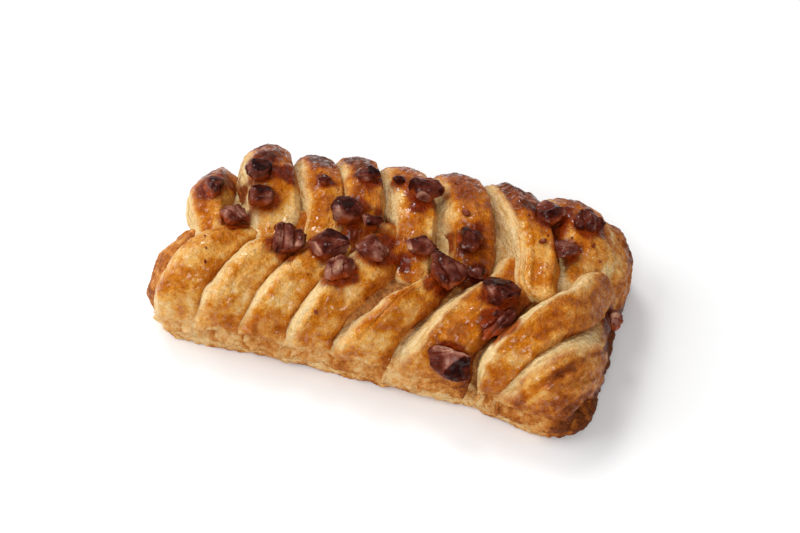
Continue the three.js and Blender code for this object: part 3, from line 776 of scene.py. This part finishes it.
# The pecans: chopped kernels pressed into the glaze and roasted, some burnt nearly black at their edges.
# The knife left flat faces, some of them pale, and the rest is the kernel's own grooved, purplish skin.
# Each chop is the way it faces (degrees round from +X, degrees up), how much it leaves, and how pale it is.
KERNELS = {
    "pecan_01": {"burnt": 1, "chops": [(90, 70, 0.88, -0.6), (-90, 10, 0.9, 0.1),
                                       (0, 10, 0.9, -0.3), (180, 10, 0.92, 0)]},
    "pecan_02": {"burnt": 1, "chops": [(60, 75, 0.85, -1), (-160, 15, 0.88, -0.3),
                                       (-80, 20, 0.9, 0.2), (0, 10, 0.92, -0.8)]},
    "pecan_03": {"chops": [(90, 70, 0.88, -0.7), (-70, 25, 0.84, 0.3), (-150, 10, 0.88, -0.4), (10, 15, 0.92, 0.1)]},
    "pecan_04": {"grain": -28, "ridges": 0.6, "spacing": 2.3, "tone": 0.2},
    "pecan_05": {"grain": 104, "ridges": 0.95, "spacing": 3.4, "tone": 0.2},
    "pecan_06": {"chops": [(80, 72, 0.74, -0.7), (-125, 12, 0.82, 1), (-45, 5, 0.84, 0.15), (30, 10, 0.92, -0.2)]},
    "pecan_07": {"chops": [(90, 75, 0.76, -0.5), (-90, 15, 0.76, 0.45), (170, 20, 0.9, 0.2), (0, 10, 0.9, -0.3)]},
    "pecan_08": {"chops": [(80, 75, 0.8, -0.5), (-150, 15, 0.84, 0.5), (-70, 10, 0.84, -0.1), (20, 5, 0.92, -0.3)]},
    "pecan_09": {"grain": 10, "ridges": 0.35, "spacing": 4.6, "tone": 0.35, "burnt": 0},
    "pecan_10": {"grain": 100, "chops": [(-90, 15, 0.84, 0.4), (-10, 20, 0.92, 0.3)], "ridges": 0.5, "spacing": 3.4,
                 "tone": 0.3, "burnt": 0.3},
    "pecan_11": {"tone": -0.1},
    "pecan_12": {"burnt": 1, "chops": [(60, 70, 0.84, -0.9), (-90, 20, 0.84, 0.1), (180, 10, 0.92, 0)]},
    "pecan_13": {"tone": -0.6},
    "pecan_14": {"chops": [(-75, 15, 0.74, 0.85), (-150, 25, 0.88, -0.1), (90, 75, 0.88, -0.3), (-15, 20, 0.88, 0)]},
    "pecan_15": {"chops": [(-140, 25, 0.78, 0.9), (90, 70, 0.84, -0.2), (0, 20, 0.92, -0.4)], "wet": 0.5},
    "pecan_16": {"tone": -0.1, "wet": 1.0, "ridges": 0},
    "pecan_17": {"grain": -40, "ridges": 1.1, "spacing": 4.6, "tone": 0.05},
    "pecan_18": {"tone": -0.2, "wet": 1.0},
    "pecan_19": {"burnt": 1, "chops": [(100, 60, 0.84, -0.7), (-130, 20, 0.84, 0.2),
                                       (-20, 40, 0.88, -0.5), (60, 10, 0.92, -0.9)]},
    "pecan_20": {"grain": 60, "ridges": 0.6, "spacing": 2.6, "tone": -0.2, "wet": 0.4},
    "pecan_21": {"chops": [(-60, 25, 0.68, -0.8), (-150, 10, 0.92, 0.2), (0, 5, 0.9, -0.7)], "grain": 20,
                 "ridges": 0.3, "spacing": 4.2, "tone": 0.3, "syrup": 0.1},
    "pecan_22": {"chops": [(90, 60, 0.88, -0.3), (-130, 25, 0.88, 0.05), (0, 15, 0.92, -0.2)], "wet": 0.6},
    "pecan_23": {"grain": 110, "ridges": 0.8, "spacing": 4.4, "tone": -0.05, "syrup": 0.3},
    "pecan_24": {"chops": [(90, 65, 0.84, 0.1), (-130, 20, 0.84, -0.2), (-30, 20, 0.92, 0)], "wet": 0.7},
    "pecan_25": {"tone": 0.45},
}
# What a kernel has where its own row doesn't say otherwise
USUAL_KERNEL = {
    "chops": [], "grain": 16, "ridges": 0.12, "spacing": 3, "tone": 0, "burnt": 0.6, "syrup": 1, "wet": 0.45,
}
NUT_VOXEL = 0.22 * MM
TONE_DEPTH = 0.42

nut_finish = bpy.data.materials.new("roasted_pecan")
nut_finish.use_nodes = True
nut = nut_finish.node_tree
nut_shader = nut.nodes["Principled BSDF"]
nut_place = add_node(nut, "ShaderNodeTexCoord", (-1500, 0)).outputs["Object"]
tone = noted(nut, (-1500, 300), "tone")
groove = noted(nut, (-1500, 500), "groove")
syrup = noted(nut, (-1500, 700), "syrup")
wet = noted(nut, (-1500, -300), "wet")
burnt = noise(nut, (-1200, 300), nut_place, 260, 3)
grainy = noise(nut, (-1200, 100), nut_place, 900, 4, 0.7)
roast = math_node(nut, "MULTIPLY_ADD", (-950, 300), burnt, 0.5, tone)
roast = math_node(nut, "MULTIPLY_ADD", (-800, 300), grainy, 0.4, roast)
roast = math_node(nut, "SUBTRACT", (-700, 300), roast, 0.045)
kernel_colour = ramp(nut, (-600, 300), roast, (
    (0.0, (0.014, 0.002, 0.0015, 1)),
    (0.25, (0.045, 0.006, 0.003, 1)),
    (0.45, (0.105, 0.021, 0.012, 1)),
    (0.62, (0.20, 0.066, 0.044, 1)),
    (0.8, (0.38, 0.175, 0.115, 1)),
    (1.0, (0.60, 0.36, 0.22, 1)),
))
# The hollows are dark red: syrup settled in them, and painted shade
kernel_colour = mix_colour(nut, (-300, 200), groove, kernel_colour, (0.10, 0.011, 0.003, 1))
kernel_colour = mix_colour(nut, (-150, 200), syrup, kernel_colour, (0.27, 0.04, 0.004, 1))
feed(nut, nut_shader.inputs["Base Color"], kernel_colour)
nut_rough = math_node(nut, "MULTIPLY_ADD", (-600, -250), grainy, 0.45, 0.1)
feed(nut, nut_shader.inputs["Roughness"], nut_rough)
_, nut_coat = beaded(nut, (-600, -400), nut_place, 600, 0.5, 0.6, wet)
feed(nut, nut_shader.inputs["Coat Weight"], nut_coat)
nut_bump = add_node(nut, "ShaderNodeBump", (-300, -250), Strength=0.5, Distance=0.3 * MM)
feed(nut, nut_bump.inputs["Height"], grainy)
feed(nut, nut_shader.inputs["Normal"], nut_bump.outputs["Normal"])
nut_shader.inputs["Coat Roughness"].default_value = 0.12
nut_shader.inputs["Specular IOR Level"].default_value = 0.06
nut_shader.inputs["Specular Tint"].default_value = (1, 0.5, 0.42, 1)


def facings_of(piece):
    """The way that each of a piece's corners faces, one row for each."""
    ways = np.empty(3 * len(piece.data.vertices))
    piece.data.vertices.foreach_get("normal", ways)
    return ways.reshape(-1, 3)


for number, (node, own_look) in enumerate(KERNELS.items()):
    look = {**USUAL_KERNEL, **own_look}

    # A copy of the solid, chopped and then made fine enough to carve
    bpy.ops.object.select_all(action="DESELECT")
    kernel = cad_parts[node].copy()
    kernel.data = kernel.data.copy()
    kernel.name = f"kernel_{number + 1:02d}"
    bpy.context.scene.collection.objects.link(kernel)
    kernel.parent = None
    kernel.matrix_world = Matrix.Identity(4)
    kernel.data.materials.clear()
    kernel.select_set(True)
    bpy.context.view_layer.objects.active = kernel
    low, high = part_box(node)
    middle = (low + high) / 2
    chops = []
    bpy.ops.object.mode_set(mode="EDIT")
    bpy.ops.mesh.select_all(action="SELECT")
    bpy.ops.mesh.remove_doubles(threshold=0.01 * MM)
    bpy.ops.object.mode_set(mode="OBJECT")
    corners = [corner.co - middle for corner in kernel.data.vertices]
    bpy.ops.object.mode_set(mode="EDIT")
    for facing, raised, left_over, pale in look["chops"]:
        facing, raised = math.radians(facing), math.radians(raised)
        level = math.cos(raised)
        away = Vector((math.cos(facing) * level, math.sin(facing) * level, math.sin(raised)))
        face = middle + away * left_over * max(corner.dot(away) for corner in corners)
        bpy.ops.mesh.select_all(action="SELECT")
        bpy.ops.mesh.bisect(plane_co=face, plane_no=away, use_fill=True, clear_outer=True)
        chops.append((np.array(face), np.array(away), pale))
    bpy.ops.object.mode_set(mode="OBJECT")
    solid = kernel.modifiers.new("fine", "REMESH")
    solid.mode = "VOXEL"
    solid.voxel_size = NUT_VOXEL
    bpy.ops.object.modifier_apply(modifier="fine")
    soft = kernel.modifiers.new("soft", "SMOOTH")
    soft.iterations = 2
    bpy.ops.object.modifier_apply(modifier="soft")

    # The kernel's own grooved skin, left smooth on the chopped faces
    points = corners_of(kernel)
    outward = facings_of(kernel)
    centred = (points - np.array(middle)) / MM
    shade = np.full(len(points), float(look["tone"]))
    flat = np.zeros(len(points))
    for face, away, pale in chops:
        on_face = ease(-0.5, -0.1, (points - face) @ away / MM) * ease(0.7, 0.95, outward @ away)
        shade = shade * (1 - on_face) + pale * on_face
        flat = np.maximum(flat, on_face)
    run = math.radians(look["grain"])
    lengthwise = centred @ np.array([math.cos(run), math.sin(run), 0])
    sideways = centred @ np.array([-math.sin(run), math.cos(run), 0])
    skin = np.stack([0.3 * lengthwise, sideways, centred[:, 2]], axis=-1)
    wavy = sideways + 0.5 * uneven(centred, 4, number)
    ridge = np.abs(np.sin(math.pi * (wavy / look["spacing"] + 0.5))) ** 0.7
    wrinkle = np.abs(uneven(skin, 1.6, number + 40))
    depth = 1.5 * look["ridges"] * (ridge - 0.75) * ease(-0.5, 0.1, outward[:, 2])
    depth = depth + 0.6 * (wrinkle - 0.4)
    depth = depth + 0.3 * uneven(centred, 2.4, number + 80) + 0.12 * uneven(centred, 0.8, number + 120)
    depth = depth * (1 - 0.75 * flat)
    points += outward * depth[:, None] * MM
    kernel.data.vertices.foreach_set("co", points.ravel())
    kernel.data.update()
    outward = facings_of(kernel)

    # Burnt where an edge stands out, dark red in the hollows from settled syrup and painted shade, and wet low down
    # where it lies in syrup
    ends = np.empty(2 * len(kernel.data.edges), np.int64)
    kernel.data.edges.foreach_get("vertices", ends)
    first, second = ends[0::2], ends[1::2]
    step = (points[second] - points[first]) / NUT_VOXEL
    bulge = np.bincount(second, (step * outward[second]).sum(axis=1), len(points))
    bulge -= np.bincount(first, (step * outward[first]).sum(axis=1), len(points))
    joined_to = np.bincount(ends, minlength=len(points))
    for _ in range(2):
        nearby = np.bincount(first, bulge[second], len(points)) + np.bincount(second, bulge[first], len(points))
        bulge = (bulge + nearby / joined_to) / 2
    burnt_edge = ease(0.2, 0.5, bulge) * ease(-0.6, 0.2, uneven(centred, 3, number + 160))
    hollow = ease(-0.03, -0.25, bulge)
    hollow = np.maximum(hollow, ease(0.45, 0.1, ridge) * (1 - flat) * min(1, 1.2 * look["ridges"]))
    shade = shade + 0.8 * uneven(centred, 2.4, number + 200) + (0.3 - 1.2 * look["burnt"]) * burnt_edge
    in_syrup = ease(0.78, 0.45, (centred[:, 2] - centred[:, 2].min()) / np.ptp(centred[:, 2]))
    in_syrup = in_syrup * ease(-0.5, 0.2, uneven(centred, 3, number + 240)) * look["syrup"]
    wetness = np.maximum(look["wet"], in_syrup)
    note(kernel, {"tone": TONE_DEPTH * shade, "groove": hollow, "syrup": 0.85 * in_syrup, "wet": wetness})

    bpy.ops.object.shade_smooth()
    kernel.data.materials.append(nut_finish)
    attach(kernel, "root")
    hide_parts(node)


# The crumbs: chips and dust of the same chopped pecans, scattered over the glaze while it was sticky.
# Each lies where it fell from above, sunk a little into the dough.
# A chip is its place along X and Y in mm, its length in mm and how pale it is.
CHIPS = [
    (-35.9, -3.9, 2.4, 0), (44.2, 8.8, 3, -0.3), (19.3, 12.9, 3.6, 0.1), (12.2, 26.6, 1.2, -0.2), (15.2, 23.3, 1, 0),
    (58.9, 13.6, 1.6, -0.2), (55.6, 11.1, 1.2, 0), (-52, -22.5, 1.4, -0.2), (-52.9, -18.9, 1, 0),
    (-14.8, -29.6, 1.6, 0), (-54.6, -15.2, 0.8, -0.3), (61.7, 11, 1, 0), (37.6, 18.2, 1.2, 0),
    (52, 14.2, 1, 0.2), (45.1, 11.8, 1, 0),
]
DUST = 16
SCATTER_SEED = 7
DROP_HEIGHT = 60
CRUMB_LIFT = 0.15
CRUMB_ROUGHNESS = 0.12
FULL_TURN = 6.28

chance = random.Random(SCATTER_SEED)
for _ in range(DUST):
    spot, size = chance.choice(nut_spots)
    turn = chance.uniform(0, 2 * math.pi)
    off = size + chance.uniform(1, 6)
    x, y = spot[0] + off * math.cos(turn), spot[1] + off * math.sin(turn)
    CHIPS.append((x, y, chance.uniform(0.4, 0.9), chance.uniform(-0.4, 0.3)))

dough_surfaces = []
for piece in (bpy.data.objects["near_strips"], bpy.data.objects["far_strips"], loaf, sheet):
    corners = [corner.co for corner in piece.data.vertices]
    faces = [face.vertices[:] for face in piece.data.polygons]
    dough_surfaces.append(BVHTree.FromPolygons(corners, faces))

crumbs = []
for number, (x, y, length, pale) in enumerate(CHIPS):
    start = LOAF_ORIGIN + Vector((x, y, DROP_HEIGHT)) * MM
    hits = [surface.ray_cast(start, Vector((0, 0, -1)))[0] for surface in dough_surfaces]
    hits = [hit for hit in hits if hit is not None]
    if not hits:
        continue
    size = length * MM
    resting = max(hits, key=lambda hit: hit.z) + Vector((0, 0, CRUMB_LIFT * size))
    bpy.ops.object.select_all(action="DESELECT")
    bpy.ops.mesh.primitive_ico_sphere_add(subdivisions=2, radius=size / 2, location=resting)
    crumb = bpy.context.object
    crumb.rotation_euler = [chance.uniform(0, FULL_TURN) for _ in range(3)]
    crumb.scale = (1, chance.uniform(0.6, 0.8), chance.uniform(0.5, 0.7))
    bpy.ops.object.mode_set(mode="EDIT")
    bpy.ops.transform.vertex_random(offset=CRUMB_ROUGHNESS * size, seed=number)
    bpy.ops.object.mode_set(mode="OBJECT")
    bpy.ops.object.transform_apply(location=True, rotation=True, scale=True)
    all_over = np.ones(len(crumb.data.vertices))
    look = {"tone": 0.1 + TONE_DEPTH * pale, "groove": 0.2, "syrup": 0.4, "wet": 0.5}
    note(crumb, {key: value * all_over for key, value in look.items()})
    crumbs.append(crumb)
crumbs = join(crumbs, "crumbs")
bpy.ops.object.shade_smooth_by_angle(angle=math.radians(40))
crumbs.data.materials.append(nut_finish)
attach(crumbs, "root")
